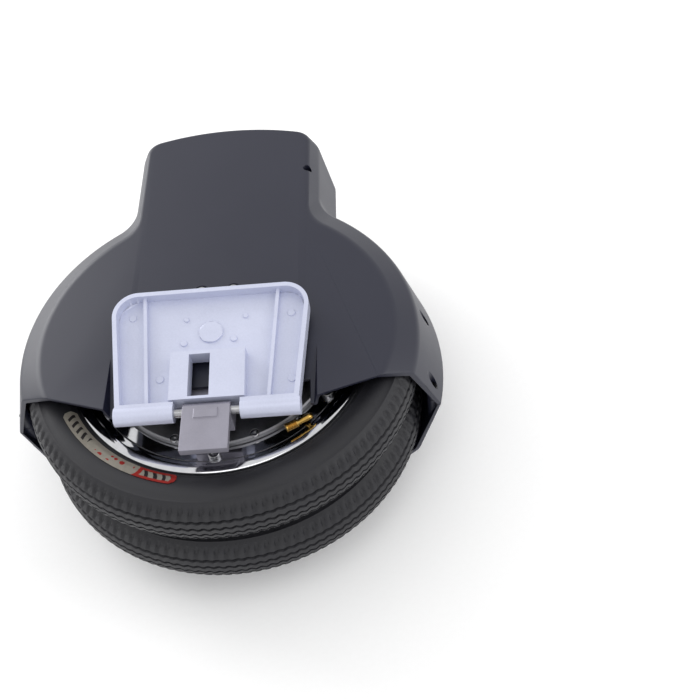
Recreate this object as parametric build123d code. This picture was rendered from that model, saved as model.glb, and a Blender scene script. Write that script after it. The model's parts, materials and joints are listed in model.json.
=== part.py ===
from build123d import *
import os
from math import cos, hypot, radians, sin, sqrt

# Twin-tyre electric unicycle lying on its side, the way it is stored or serviced.
# The parts are drawn about the wheel's centre: +Z along the axle, +Y towards the
# carry handle, +X to one end of the wheel.  The finished parts are then moved so
# that the origin is the middle of the box's underside.

# ---- driving dimensions, millimetres ----
TYRE_R = 178.0            # 14 inch tyre, outer radius
TYRE_HALF_WIDTH = 28.0
TYRE_PLANE_Z = 33.0       # each tyre's middle plane, from the wheel's middle

WALL = 3.0                # moulded housing wall
SEAM_Z = 0.15             # half of the joint line between the two covers
SHOULDER_Z = 60.0         # height where the flared side wall turns into the bevel
FACE_Z = 78.0             # flat middle panel of each cover
PANEL_HALF = 77.0         # half-width of the flat middle panel
FACE_FALL = 0.062         # slope of the two wings beside the panel
ARCH_R = 247.0            # arched top edge
CORNER_R = 16.0
NECK_R = 38.0
TOP_Y = 276.0             # top of the housing at the joint line

AXLE_R = 10.0
AXLE_END_R = 8.0
AXLE_END_Z = 73.6
ARM_Z0 = 60.0             # hanger arm, inner and outer face
ARM_Z1 = 66.0

HINGE_Y = -91.0
HINGE_Z = 81.0
PIN_R = 4.0
KNUCKLE_R = 8.2
STOP_Z = 88.0             # outer face of the hanger's stop plate
PEDAL_TILT = 8.0          # lean of the folded pedal, degrees
PEDAL_LENGTH = 118.0
PEDAL_HALF_DEPTH = 7.0
RUN = 0.05                # running clearance on a radius

MOTOR_R = 104.0
MOTOR_HALF = 50.0
FLANGE_R = 117.0
DRUM_BORE_R = 97.0
BEARING_R = 21.0
BEARING_Z0 = 36.0
BEARING_Z1 = 48.0
WEB_Z0 = 40.0             # rim web that is bolted to the motor flange
WEB_Z1 = 44.0
RIM_BOLT_R = 111.0
RIM_BOLTS = 6
SLOTS = 27
MAGNETS = 30

CELL_R = 9.2
CELL_LENGTH = 65.0

# ---- place of the origin ----
HALF_HEIGHT = (HINGE_Z + PEDAL_LENGTH * sin(radians(PEDAL_TILT))
               + PEDAL_HALF_DEPTH * cos(radians(PEDAL_TILT)))
MIDDLE_Y = (TOP_Y - TYRE_R) / 2


# ---- small drawing helpers ----
def block(x0, x1, y0, y1, z0, z1):
    middle = Pos((x0 + x1) / 2, (y0 + y1) / 2, (z0 + z1) / 2)
    return middle * Box(x1 - x0, y1 - y0, z1 - z0)


def rod_z(x, y, r, z0, z1):
    return Pos(x, y, (z0 + z1) / 2) * Cylinder(r, z1 - z0)


def rod_y(x, z, r, y0, y1):
    return Pos(x, (y0 + y1) / 2, z) * Rot(90, 0, 0) * Cylinder(r, y1 - y0)


def rod_x(y, z, r, x0, x1):
    return Pos((x0 + x1) / 2, y, z) * Rot(0, 90, 0) * Cylinder(r, x1 - x0)


def ring(r_in, r_out, z0, z1):
    return rod_z(0, 0, r_out, z0, z1) - rod_z(0, 0, r_in, z0 - 1, z1 + 1)


def turned(points):
    """Solid of revolution about the axle from (radius, z) points."""
    outline = Polyline(*[(r, 0, z) for r, z in points], close=True)
    return revolve(make_face(outline.edges()), axis=Axis.Z)


def prism_x(points, x0, x1):
    outline = Polyline(*[(x0, y, z) for y, z in points], close=True)
    return extrude(make_face(outline.edges()), amount=x1 - x0, dir=(1, 0, 0))


def prism_y(points, y0, y1):
    outline = Polyline(*[(x, y0, z) for x, z in points], close=True)
    return extrude(make_face(outline.edges()), amount=y1 - y0, dir=(0, 1, 0))


def prism_z(points, z0, z1):
    outline = Polyline(*[(x, y, z0) for x, y in points], close=True)
    return extrude(make_face(outline.edges()), amount=z1 - z0, dir=(0, 0, 1))


def flipped(shape):
    """The same piece on the lower side, turned over about the Y axis."""
    return Rot(0, 180, 0) * shape


def half_turn(shape):
    """The same piece on the lower side, turned over about the X axis."""
    return Rot(180, 0, 0) * shape


def group(shapes):
    return Compound(children=list(shapes))


def around(count, radius, start=0.0):
    """Centres of equally spaced places on a circle, with their angles."""
    places = []
    for i in range(count):
        angle = start + 360.0 * i / count
        x = radius * cos(radians(angle))
        y = radius * sin(radians(angle))
        places.append((x, y, angle))
    return places


def save(node, shape):
    placed = Pos(0, -MIDDLE_Y, HALF_HEIGHT) * shape
    export_step(placed, f"parts/{node}.step")


# ---- housing: two moulded covers that meet at the wheel's middle plane ----
def arc(centre, start, end):
    """The shorter arc about a centre between two points."""
    mx = start[0] + end[0] - 2 * centre[0]
    my = start[1] + end[1] - 2 * centre[1]
    size = hypot(mx, my)
    r = hypot(start[0] - centre[0], start[1] - centre[1])
    middle = (centre[0] + mx * r / size, centre[1] + my * r / size)
    return ThreePointArc(start, middle, end)


def outline(half_box, wheel_r, top_y, z):
    """Housing outline at one height: round part, necks, box part, arched top."""
    chord_y = -100.0
    chord_x = sqrt(wheel_r ** 2 - chord_y ** 2)
    neck_y = sqrt((wheel_r + NECK_R) ** 2 - (half_box + NECK_R) ** 2)
    share = wheel_r / (wheel_r + NECK_R)
    touch = ((half_box + NECK_R) * share, neck_y * share)
    arch_y = top_y - ARCH_R
    corner_y = arch_y + sqrt((ARCH_R - CORNER_R) ** 2 - (half_box - CORNER_R) ** 2)
    grow = ARCH_R / (ARCH_R - CORNER_R)
    arch_end = ((half_box - CORNER_R) * grow, arch_y + (corner_y - arch_y) * grow)

    edges = [Line((-chord_x, chord_y), (chord_x, chord_y))]
    edges += [ThreePointArc(arch_end, (0, top_y), (-arch_end[0], arch_end[1]))]
    for side in (1, -1):
        low = (side * chord_x, chord_y)
        join = (side * touch[0], touch[1])
        neck = (side * half_box, neck_y)
        rise = (side * half_box, corner_y)
        over = (side * arch_end[0], arch_end[1])
        edges += [arc((0, 0), low, join)]
        edges += [arc((side * (half_box + NECK_R), neck_y), join, neck)]
        edges += [Line(neck, rise)]
        edges += [arc((side * (half_box - CORNER_R), corner_y), rise, over)]
    return Pos(0, 0, z) * make_face(edges)


def housing_block(inset):
    """Solid upper half of the housing, drawn in by the wall thickness."""
    sections = [
        outline(102.0 - inset, 199.0 - inset, TOP_Y - inset, 0),
        outline(91.0 - inset, 179.0 - inset, 270.0 - inset, SHOULDER_Z - inset),
        outline(82.0 - inset, 151.0 - inset, 264.0 - inset, FACE_Z - inset),
    ]
    body = loft(sections, ruled=True)
    reach = 210.0
    wing_z = FACE_Z - FACE_FALL * (reach - PANEL_HALF) - inset
    top_z = FACE_Z - inset
    roof = prism_y([(-reach, -1), (-reach, wing_z), (-PANEL_HALF, top_z),
                    (PANEL_HALF, top_z), (reach, wing_z), (reach, -1)], -150, 300)
    return body & roof


APRON_X = 88.0            # inner corner of the lower edge, beside the pedal
APRON_Y = -80.0
APRON_RISE = 0.35         # the lower edge climbs towards each end
NOTCH_X = 84.0
NOTCH_Y = -58.0


def below_edge():
    """Everything below the cover's lower edge, where the tyres stand out."""
    reach = 215.0
    end_y = APRON_Y + APRON_RISE * (reach - APRON_X)
    right = [(NOTCH_X, NOTCH_Y), (NOTCH_X, APRON_Y), (APRON_X, APRON_Y),
             (reach, end_y), (reach, -140)]
    left = [(-x, y) for x, y in reversed(right)]
    return prism_z(right + left, -5, 120)


def pedal_pocket(grow):
    """Sunken place round the pedal's hinge, deeper towards the lower edge."""
    slope = prism_x([(-22, FACE_Z - grow), (-90, 64.5 - grow), (-90, 120), (-22, 120)],
                    -100, 100)
    wide = 91.5 + grow
    narrow = 85.0 + grow
    walls = prism_y([(-wide, FACE_Z + 2), (-narrow, 58), (narrow, 58), (wide, FACE_Z + 2)],
                    -90, 0)
    return slope & walls


# recessed screws along the joint line: (x, y, height of the seat)
SIDE_SCREWS = [(184.6, 29.5, 20.0), (188.3, -33.0, 12.0)]
BOX_SCREW = (81.0, 198.0, 66.0)
SCREW_HEAD_R = 3.5
SCREW_SHAFT_R = 2.0
BOSS_R = 6.2

HANDLE_HALF = 65.0        # handle well in the top of the housing
WELL_HALF = 30.0
WELL_FLOOR_Y = 229.0
BUTTON_X = -45.0
PORT_X = 45.0
TOP_CONTROLS_Z = 48.0
BUTTON_R = 8.0
PORT_R = 9.0
LIGHTS_X = (-15.0, -5.0, 5.0, 15.0)
HUB_SCREWS_X = 14.6
HUB_SCREWS_Y = 45.0


def cover(screws_from_here):
    """One half of the housing, drawn as the upper one."""
    shell = housing_block(0) - pedal_pocket(0)
    shell -= housing_block(WALL) - pedal_pocket(WALL)
    shell -= below_edge()
    shell -= block(-220, 220, -200, 300, -5, SEAM_Z)
    inside = housing_block(WALL / 2)
    for x, y, seat_z in SIDE_SCREWS:
        for side in (1, -1):
            boss = rod_z(side * x, y, BOSS_R, SEAM_Z, 60) & inside
            shell += boss
            if screws_from_here:
                shell -= rod_z(side * x, y, SCREW_HEAD_R + 0.4, seat_z, 80)
            shell -= rod_z(side * x, y, SCREW_SHAFT_R, -1, 22)
    x, y, seat_z = BOX_SCREW
    for end in (1, -1):
        shell += rod_z(end * x, y, BOSS_R, SEAM_Z, FACE_Z - 1) & inside
        shell -= rod_z(end * x, y, SCREW_SHAFT_R, -1, seat_z + 1)
    shell -= rod_z(x, y, SCREW_HEAD_R + 0.4, seat_z, 90)
    shell -= block(-HANDLE_HALF, HANDLE_HALF, WELL_FLOOR_Y, 300, -1, WELL_HALF)
    for end in (1, -1):
        shell -= rod_z(end * HUB_SCREWS_X, HUB_SCREWS_Y, 2.6, 60, 90)
        shell -= rod_z(end * HUB_SCREWS_X, HUB_SCREWS_Y, 6.5, FACE_Z - 1.6, 90)
    return shell


def upper_cover():
    shell = cover(True)
    shell -= rod_y(BUTTON_X, TOP_CONTROLS_Z, BUTTON_R + 0.35, 250, 300)
    seat_y = cap_seat_y()
    shell += block(PORT_X - 16, PORT_X + 16, seat_y - 4, 280, 30.5, 62) & housing_block(1.0)
    shell -= rod_y(PORT_X, TOP_CONTROLS_Z, PORT_R, 250, 300)
    shell -= rod_y(PORT_X, TOP_CONTROLS_Z, PORT_R + 2.6, seat_y, 300)
    shell -= block(PORT_X - 8, PORT_X + 8, seat_y, 300, TOP_CONTROLS_Z - 15.0,
                   TOP_CONTROLS_Z)
    for x in LIGHTS_X:
        shell -= rod_y(x, TOP_CONTROLS_Z, 2.5, 250, 300)
    return shell


def screw(length, head_r, head_height, shaft_r, socket_r):
    """Cap screw standing on its head's seat at z = 0, shaft downwards."""
    head = Pos(0, 0, head_height / 2) * Cylinder(head_r, head_height)
    head = chamfer(head.edges().group_by(Axis.Z)[-1], 0.5)
    drive = Pos(0, 0, head_height) * extrude(RegularPolygon(socket_r, 6), -head_height * 0.6)
    shaft = Pos(0, 0, -length / 2) * Cylinder(shaft_r, length)
    return head + shaft - drive


def cover_screws():
    pieces = []
    side_screw = screw(27.0, SCREW_HEAD_R, 3.0, SCREW_SHAFT_R, 1.6)
    for x, y, seat_z in SIDE_SCREWS:
        for side in (1, -1):
            pieces.append(Pos(side * x, y, seat_z) * side_screw)
    long_screw = screw(80.0, SCREW_HEAD_R, 3.0, SCREW_SHAFT_R, 1.6)
    x, y, seat_z = BOX_SCREW
    pieces.append(Pos(x, y, seat_z) * long_screw)
    pieces.append(flipped(Pos(x, y, seat_z) * long_screw))
    return group(pieces)


def hub_screws():
    """Two pan-head screws a side that tie the cover to the hanger plate."""
    pieces = []
    one = screw(FACE_Z - 1.6 - ARM_Z0, 4.5, 2.6, 2.5, 2.0)
    for end in (1, -1):
        placed = Pos(end * HUB_SCREWS_X, HUB_SCREWS_Y, FACE_Z - 1.6) * one
        pieces += [placed, flipped(placed)]
    return group(pieces)


def top_height(x, z):
    """Height of the housing's arched top over a place on it."""
    crown = TOP_Y - (TOP_Y - 270.0) * z / SHOULDER_Z
    return crown - ARCH_R + sqrt(ARCH_R ** 2 - x ** 2)


def handle_well():
    """Open tub in the top of the housing that gives the fingers room."""
    rim_y = top_height(HANDLE_HALF, WELL_HALF) - 4.0
    gap = 0.3
    x = HANDLE_HALF - gap
    z = WELL_HALF - gap
    tub = block(-x, x, WELL_FLOOR_Y + gap, rim_y, -z, z)
    return tub - block(-x + 2.5, x - 2.5, WELL_FLOOR_Y + 2.8, 300, -z + 2.5, z - 2.5)


def carry_handle():
    """Arched bar across the well, its ends fixed to the well's end walls."""
    half = HANDLE_HALF - 2.8
    top = TOP_Y - 1.0
    low = [(-half, 247), (half, 247), (half, top - 9.4)]
    face_edges = [
        Line(low[0] + (0,), low[1] + (0,)),
        Line(low[1] + (0,), low[2] + (0,)),
        ThreePointArc(low[2] + (0,), (0, top, 0), (-half, top - 9.4, 0)),
        Line((-half, top - 9.4, 0), low[0] + (0,)),
    ]
    bar = extrude(make_face(face_edges), amount=11, both=True)
    bar -= Pos(0, 190, 0) * rod_z(0, 0, 70, -20, 20)
    long_edges = bar.edges().filter_by(GeomType.CIRCLE)
    return fillet(long_edges, 4.0)


# ---- things in the top of the housing ----
def power_button():
    """Round push button that stands 2 mm proud of the arched top."""
    face_y = top_height(BUTTON_X, TOP_CONTROLS_Z)
    cap = rod_y(BUTTON_X, TOP_CONTROLS_Z, BUTTON_R, face_y - 7, face_y + 2)
    cap = fillet(cap.edges().group_by(Axis.Y)[-1], 1.2)
    return cap + rod_y(BUTTON_X, TOP_CONTROLS_Z, BUTTON_R + 2, face_y - 9, face_y - 6.8)


def button_switch():
    """Switch body under the power button."""
    face_y = top_height(BUTTON_X, TOP_CONTROLS_Z)
    top = face_y - 11.2
    body = block(BUTTON_X - 7, BUTTON_X + 7, top - 10, top, TOP_CONTROLS_Z - 7,
                 TOP_CONTROLS_Z + 7)
    return body


def cap_seat_y():
    """Flat floor of the recess that takes the charging cap."""
    return top_height(PORT_X, TOP_CONTROLS_Z) - 1.8


def charge_socket():
    """Three-pin charging socket in the top of the upper cover."""
    seat_y = cap_seat_y()
    body = rod_y(PORT_X, TOP_CONTROLS_Z, PORT_R - 0.05, seat_y - 18, seat_y - 0.2)
    body -= rod_y(PORT_X, TOP_CONTROLS_Z, 6.0, seat_y - 13, seat_y + 1)
    for x, y, angle in around(3, 2.8, 90):
        body += rod_y(PORT_X + x, TOP_CONTROLS_Z + y, 0.9, seat_y - 15, seat_y - 8)
    return body


def charge_cap():
    """Rubber flap over the charging socket, hinged on its inboard edge."""
    face_y = cap_seat_y() + 0.3
    disc = rod_y(PORT_X, TOP_CONTROLS_Z, PORT_R + 2.0, face_y, face_y + 1.8)
    tab = block(PORT_X - 4, PORT_X + 4, face_y, face_y + 1.8, TOP_CONTROLS_Z - 14.3,
                TOP_CONTROLS_Z)
    plug = rod_y(PORT_X, TOP_CONTROLS_Z, 4.4, face_y - 4, face_y + 0.5)
    return disc + tab + plug


def level_lights():
    """Row of small battery-level lights beside the button."""
    pieces = []
    for x in LIGHTS_X:
        face_y = top_height(x, TOP_CONTROLS_Z)
        lens = rod_y(x, TOP_CONTROLS_Z, 2.4, face_y - 6, face_y + 0.3)
        pieces.append(lens)
    return group(pieces)


def wheel_arch():
    """Plate over the tyres that keeps water out of the electronics."""
    reach = 84.0
    half = 64.0
    arch = ring(183.0, 185.5, -half, half) & block(-reach, reach, 100, 200, -half, half)
    deck = block(-reach, reach, 185.4, 188.0, -half, half)
    shell = arch + deck
    for x in (-80, -60, -40, 40, 60, 80):
        low = sqrt(184.5 ** 2 - x ** 2)
        shell += block(x - 1.2, x + 1.2, low, 186, -half, half)
    return shell


def cell_places():
    places = []
    for row in range(2):
        for column in range(8):
            x = (column - 3.5) * (2 * CELL_R + 0.2)
            y = 188.3 + CELL_R + row * (2 * CELL_R + 0.2)
            places.append((x, y))
    return places


BATTERY_Z0 = -70.0


def battery_cells():
    cells = []
    for x, y in cell_places():
        can = rod_z(x, y, CELL_R, BATTERY_Z0, BATTERY_Z0 + CELL_LENGTH - 1)
        cells.append(can + rod_z(x, y, 3.0, -7, -5))
    return group(cells)


def battery_holders():
    """Two moulded combs that hold the cells' ends."""
    combs = []
    for z0 in (BATTERY_Z0 + 3, BATTERY_Z0 + CELL_LENGTH - 9):
        comb = block(-77, 77, 188.1, 226.6, z0, z0 + 6)
        for x, y in cell_places():
            comb -= rod_z(x, y, CELL_R + 0.05, z0 - 1, z0 + 7)
        for side in (1, -1):
            comb -= rod_z(side * BOX_SCREW[0], BOX_SCREW[1], BOSS_R + 0.4, z0 - 1, z0 + 7)
        combs.append(comb & block(-77, 77, 189, 226, z0, z0 + 6))
    return group(combs)


BOARD_Y = 205.0


def heat_sink():
    """Finned aluminium plate under the controller's power transistors."""
    sink = block(-62, 62, 188.1, 192, 2, 58)
    for i in range(13):
        x = -60 + i * 10
        sink += block(x - 0.9, x + 0.9, 191.5, 200, 2, 58)
    return sink


def controller_board():
    """Motor controller with its capacitors and a row of transistors."""
    board = block(-60, 60, BOARD_Y, BOARD_Y + 1.6, 4, 56)
    for i in range(3):
        board += rod_z(-40 + i * 20, BOARD_Y + 9.5, 8.0, 10, 40)
    for i in range(6):
        x = 24 + i * 6.2
        board += block(x - 2.2, x + 2.2, BOARD_Y + 1, BOARD_Y + 12, 44, 54)
    board += block(40, 58, BOARD_Y + 1, BOARD_Y + 9, 12, 30)
    return board + block(-7, 13, BOARD_Y + 1, BOARD_Y + 12, 44, 56)


CABLE_R = 3.5
CABLE_Z0 = 55.2
CABLE_Z1 = 68.6


def motor_cable():
    """Three-phase lead from the axle's slot, up over the tyre to the board."""
    route = [(0, 4, CABLE_Z0), (0, 104, CABLE_Z0), (0, 134, CABLE_Z1),
             (0, 198, CABLE_Z1), (3, 211.5, 58.6)]
    path = FilletPolyline(*route, radius=18)
    start = Plane(origin=route[0], z_dir=(0, 1, 0))
    return sweep(start * Circle(CABLE_R), path=path)


# ---- axle and hangers, which stand still while the wheel turns ----
def axle():
    """Hollow steel axle with flats at both ends and a slot for the cable."""
    shaft = rod_z(0, 0, AXLE_R, -ARM_Z0, ARM_Z0)
    shaft += rod_z(0, 0, AXLE_END_R, -AXLE_END_Z, AXLE_END_Z)
    shaft += rod_z(0, 0, 14.0, -24, 24)
    flat = 6.0
    for x0, x1 in ((flat, 12), (-12, -flat)):
        shaft -= block(x0, x1, -12, 12, ARM_Z0, 90)
        shaft -= block(x0, x1, -12, 12, -90, -ARM_Z0)
    shaft -= rod_z(0, 0, 4.5, 10, 56)
    shaft -= rod_y(0, CABLE_Z0, CABLE_R + 0.3, 0, 12)
    return shaft


def axle_nuts():
    pieces = []
    for side in (1, -1):
        nut = extrude(RegularPolygon(13.5, 6), 5.4) - rod_z(0, 0, AXLE_END_R, -1, 7)
        nut = Pos(0, 0, ARM_Z1 + 2.0) * nut
        pieces.append(nut if side == 1 else flipped(nut))
    return group(pieces)


def axle_washers():
    washer = ring(AXLE_END_R + 0.2, 14.5, ARM_Z1, ARM_Z1 + 2.0)
    return group([washer, flipped(washer)])


HANGER_HALF = 20.0
STOP_PLATE_Y = -133.0
STOP_PAD_Z = 89.2


def hanger():
    """Forged plate from the axle to the pedal hinge, with its stop plate."""
    plate = block(-26, 26, -40, 58, ARM_Z0, ARM_Z1)
    plate += block(-HANGER_HALF, HANGER_HALF, -98, -30, ARM_Z0, ARM_Z1)
    plate += rod_z(0, 0, 30, ARM_Z0, ARM_Z1)
    riser = block(-HANGER_HALF, HANGER_HALF, -98, -84, ARM_Z0, HINGE_Z)
    riser += rod_x(HINGE_Y, HINGE_Z, STOP_Z - HINGE_Z, -HANGER_HALF, HANGER_HALF)
    riser += block(-HANGER_HALF, HANGER_HALF, -98, HINGE_Y, HINGE_Z - 1, STOP_Z)
    tongue = block(-HANGER_HALF, HANGER_HALF, STOP_PLATE_Y, -97, STOP_Z - 7, STOP_Z)
    pad = block(-10, 10, -102, -93, STOP_Z - 1, STOP_PAD_Z)
    gusset = [(-97.5, 66), (-97.5, 82), (-128, 82)]
    body = plate + riser + tongue + pad
    for x in (-16, 12):
        body += prism_x(gusset, x, x + 4)
    eye = rod_z(0, 0, AXLE_END_R + 0.03, ARM_Z0 - 1, ARM_Z1 + 1)
    eye &= block(-6.03, 6.03, -12, 12, ARM_Z0 - 1, ARM_Z1 + 1)
    body -= eye
    body -= rod_x(HINGE_Y, HINGE_Z, PIN_R, -30, 30)
    for end in (1, -1):
        body -= rod_z(end * HUB_SCREWS_X, HUB_SCREWS_Y, 2.5, ARM_Z0 - 1, ARM_Z1 + 1)
    return body


def hinge_pin():
    pin = rod_x(HINGE_Y, HINGE_Z, PIN_R, -76, 76)
    return chamfer(pin.edges(), 0.6)


def pedal_place(shape):
    """From the pedal's own frame, hinge at the origin, to the folded pedal."""
    return Pos(0, HINGE_Y, HINGE_Z) * Rot(PEDAL_TILT, 0, 0) * shape


PEDAL_FOOT_U = STOP_PAD_Z - HINGE_Z + 0.3
BOSS_HALF = 32.0
BOSS_W = 8.1


def pedal_plan(inset):
    foot = 77.0 - inset
    head = 88.5 - inset
    low = PEDAL_FOOT_U - 5.0 + inset
    high = PEDAL_LENGTH - inset
    plan = make_face(Polyline((-foot, low), (foot, low), (head, high), (-head, high),
                              close=True).edges())
    corners = plan.vertices().group_by(Axis.Y)[-1]
    return fillet(corners, 22.0 - inset)


def pedal():
    """Die-cast folding pedal: tray open to the outside, ribs, hinge knuckles."""
    tray = Pos(0, 0, -PEDAL_HALF_DEPTH) * extrude(pedal_plan(0), 2 * PEDAL_HALF_DEPTH)
    tray -= Pos(0, 0, -PEDAL_HALF_DEPTH + 4.0) * extrude(pedal_plan(4.0), 20)
    tray += block(-BOSS_HALF, BOSS_HALF, PEDAL_FOOT_U, 54.5, -5, BOSS_W)
    for side in (1, -1):
        tray += prism_z([(side * 49.5, 4), (side * 52.5, 4), (side * 60.5, 114),
                         (side * 57.5, 114)], -4, 3.0)
    tray += rod_z(0, 78, 10.5, -4, -1.6)
    tray -= block(-28, 28, -20, PEDAL_FOOT_U, -20, 20)
    tray -= block(-16, 2, 11, 51, -20, 20)
    for x0, x1 in ((28, 78), (-78, -28)):
        tray += rod_x(0, 0, KNUCKLE_R, x0, x1)
    tray -= rod_x(0, 0, PIN_R + RUN, -90, 90)
    return pedal_place(tray)


def pedal_pad():
    """Ribbed rubber tread on the side the foot stands on."""
    plate = extrude(pedal_plan(5.0), -1.2)
    plate -= block(-36, 36, -5, 58, -5, 5)
    for i in range(12):
        u = 18 + i * 8
        rib = block(-80, 80, u - 2, u + 2, -2.0, -0.6)
        plate += rib & extrude(pedal_plan(7.0), -3.0) - block(-38, 38, -5, 60, -5, 5)
    return pedal_place(Pos(0, 0, -PEDAL_HALF_DEPTH) * plate)


# ---- wheel: everything here turns together about the axle ----
def motor_drum():
    """Cast aluminium rotor drum with a bolting flange for each rim."""
    drum = turned([(DRUM_BORE_R, -45), (MOTOR_R, -45), (MOTOR_R, -WEB_Z0),
                   (FLANGE_R, -WEB_Z0), (FLANGE_R, -34), (MOTOR_R, -31), (MOTOR_R, 31),
                   (FLANGE_R, 34), (FLANGE_R, WEB_Z0), (MOTOR_R, WEB_Z0), (MOTOR_R, 45),
                   (DRUM_BORE_R, 45)])
    for x, y, angle in around(RIM_BOLTS, RIM_BOLT_R, 30):
        drum -= rod_z(x, y, 3.0, -60, 60)
    for x, y, angle in around(9, 100.5, 10):
        drum -= rod_z(x, y, 2.0, -60, -33) + rod_z(x, y, 2.0, 33, 60)
    notch = rod_z(VALVE_FOOT[0], VALVE_FOOT[1], 6.0, 20, 45) - rod_z(0, 0, MOTOR_R, -50, 50)
    drum -= notch + valve_hole()
    return drum - half_turn(notch + valve_hole())


def motor_cover():
    """Turned side cover of the motor, with the bearing housing in its middle."""
    z1 = MOTOR_HALF
    cover_points = [(BEARING_R, 34), (27, 34), (30, 44.5), (96.8, 44.5), (96.8, 43),
                    (96.9, 45.05), (MOTOR_R, 45.05), (MOTOR_R, 48.5), (102.5, z1),
                    (60, z1), (56, 48.6), (36, 48.6), (32, z1), (13, z1), (13, 48.1),
                    (BEARING_R, 48.1)]
    plate = turned([p for p in cover_points if p != (96.8, 43)])
    for x, y, angle in around(9, 100.5, 10):
        plate -= rod_z(x, y, 2.0, 40, 60)
        plate -= rod_z(x, y, 3.8, 47.5, 60)
    return plate


def motor_cover_screws():
    pieces = []
    one = screw(9.0, 3.5, 2.2, 2.0, 1.5)
    for x, y, angle in around(9, 100.5, 10):
        placed = Pos(x, y, 47.5) * one
        pieces += [placed, flipped(placed)]
    return group(pieces)


def magnet_ring():
    """Steel back-iron ring with the block magnets glued inside it."""
    solids = [ring(93.5, DRUM_BORE_R, -21, 21)]
    for x, y, angle in around(MAGNETS, 92.0):
        magnet = Pos(x, y, 0) * Rot(0, 0, angle) * Box(2.6, 17.0, 40.0)
        solids.append(magnet)
    return group(solids)


def stator_core():
    """Laminated stator with its teeth, on an aluminium spider."""
    core = ring(62, 70, -19, 19)
    for x, y, angle in around(SLOTS, 78.5):
        core += Pos(x, y, 0) * Rot(0, 0, angle) * Box(19.0, 6.0, 38.0)
    for x, y, angle in around(SLOTS, 87.6):
        core += Pos(x, y, 0) * Rot(0, 0, angle) * Box(2.6, 15.5, 38.0)
    return core


def stator_spider():
    hub = ring(14.0, 22, -19, 19) + ring(55, 62, -19, 19)
    for x, y, angle in around(6, 38.5):
        hub += Pos(x, y, 0) * Rot(0, 0, angle) * Box(36.0, 8.0, 30.0)
    return hub


def stator_coils():
    """Copper windings, one round each tooth."""
    coils = []
    for x, y, angle in around(SLOTS, 78.3):
        coil = Box(14.0, 10.0, 46.0) - Box(15.0, 6.1, 38.1)
        coils.append(Pos(x, y, 0) * Rot(0, 0, angle) * coil)
    return group(coils)


def bearing_outer_rings():
    race = ring(17.4, BEARING_R, BEARING_Z0, BEARING_Z1)
    race -= revolve(Plane.XZ * Pos(15.5, 42) * Circle(3.05), axis=Axis.Z)
    return group([race, flipped(race)])


def bearing_inner_rings():
    race = ring(AXLE_R, 13.6, BEARING_Z0, BEARING_Z1)
    race -= revolve(Plane.XZ * Pos(15.5, 42) * Circle(3.05), axis=Axis.Z)
    return group([race, flipped(race)])


def bearing_balls():
    balls = []
    for x, y, angle in around(9, 15.5):
        for z in (42, -42):
            balls.append(Pos(x, y, z) * Sphere(2.98))
    return group(balls)


VALVE_FOOT = (76.3, -80.2)    # where the bent stem passes the rim's web
VALVE_BEND = (84.0, -86.5)
VALVE_TIP = (62.0, -97.6)
VALVE_Z = 57.8


def valve_hole():
    """Radial hole through the rim's well for the foot of the stem."""
    middle = Plane(origin=(VALVE_FOOT[0], VALVE_FOOT[1], TYRE_PLANE_Z),
                   z_dir=(VALVE_FOOT[0], VALVE_FOOT[1], 0))
    return middle * Pos(0, 0, 5) * Cylinder(3.4, 14)


def rim():
    """Steel rim: drop-centre channel and a web that bolts to the motor."""
    half = 20.0
    shape = [(133.5, 17.6), (127.5, 17.6), (126.8, 10.0), (119.5, 8.0), (119.5, -8.0),
             (126.8, -10.0), (127.5, -17.6), (133.5, -17.6), (133.5, -half),
             (125.0, -half), (124.3, -12.3), (117.4, -10.3), (117.4, 7.0),
             (104.6, 7.0), (104.6, 11.0), (120.0, 11.0), (122.0, 13.0),
             (127.5, half - 1.5), (131.5, half + 0.6), (133.9, half - 0.4)]
    body = turned([(r, TYRE_PLANE_Z + z) for r, z in shape])
    for x, y, angle in around(RIM_BOLTS, RIM_BOLT_R, 30):
        body -= rod_z(x, y, 3.1, 38, 46)
    return body - rod_z(VALVE_FOOT[0], VALVE_FOOT[1], 6.2, 34, 60) - valve_hole()


def rim_bolts():
    pieces = []
    one = screw(WEB_Z1 - 34.5, 5.2, 5.0, 3.0, 2.6)
    for x, y, angle in around(RIM_BOLTS, RIM_BOLT_R, 30):
        placed = Pos(x, y, WEB_Z1) * one
        pieces += [placed, flipped(placed)]
    return group(pieces)


def tyre_side(z_sign):
    """One side of the tyre's section from the tread's edge to inside the casing."""
    def at(r, z):
        return (r, 0, TYRE_PLANE_Z + z_sign * z)

    bulge = Spline(at(172.0, 21), at(165.5, 26), at(155.0, TYRE_HALF_WIDTH), at(136.2, 20.2))
    bead = Polyline(at(136.2, 20.2), at(134.8, 17.3), at(127.8, 17.3), at(127.8, 12.5),
                    at(139.0, 19.5), at(155.0, 23.0), at(165.0, 20.5), at(168.0, 18))
    return bulge.edges() + bead.edges()


def tyre():
    """Tyre section: crowned tread, round shoulders, beads inside the rim lips."""
    z0 = TYRE_PLANE_Z
    crown = ThreePointArc((172.0, 0, z0 - 21), (TYRE_R, 0, z0), (172.0, 0, z0 + 21))
    belt = ThreePointArc((168.0, 0, z0 - 18), (173.0, 0, z0), (168.0, 0, z0 + 18))
    section = Wire([crown, belt] + list(tyre_side(1)) + list(tyre_side(-1)))
    body = revolve(make_face(section), axis=Axis.Z)
    for z in (-12, -4, 4, 12):
        body -= ring(TYRE_R - 3.2, TYRE_R + 2, z0 + z - 1, z0 + z + 1)
    return body


def inner_tube():
    """Air tube that fills the tyre, drawn as one soft ring."""
    section = Pos(150.0, TYRE_PLANE_Z) * Ellipse(17.0, 16.0)
    return revolve(Plane.XZ * section, axis=Axis.Z)


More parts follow.
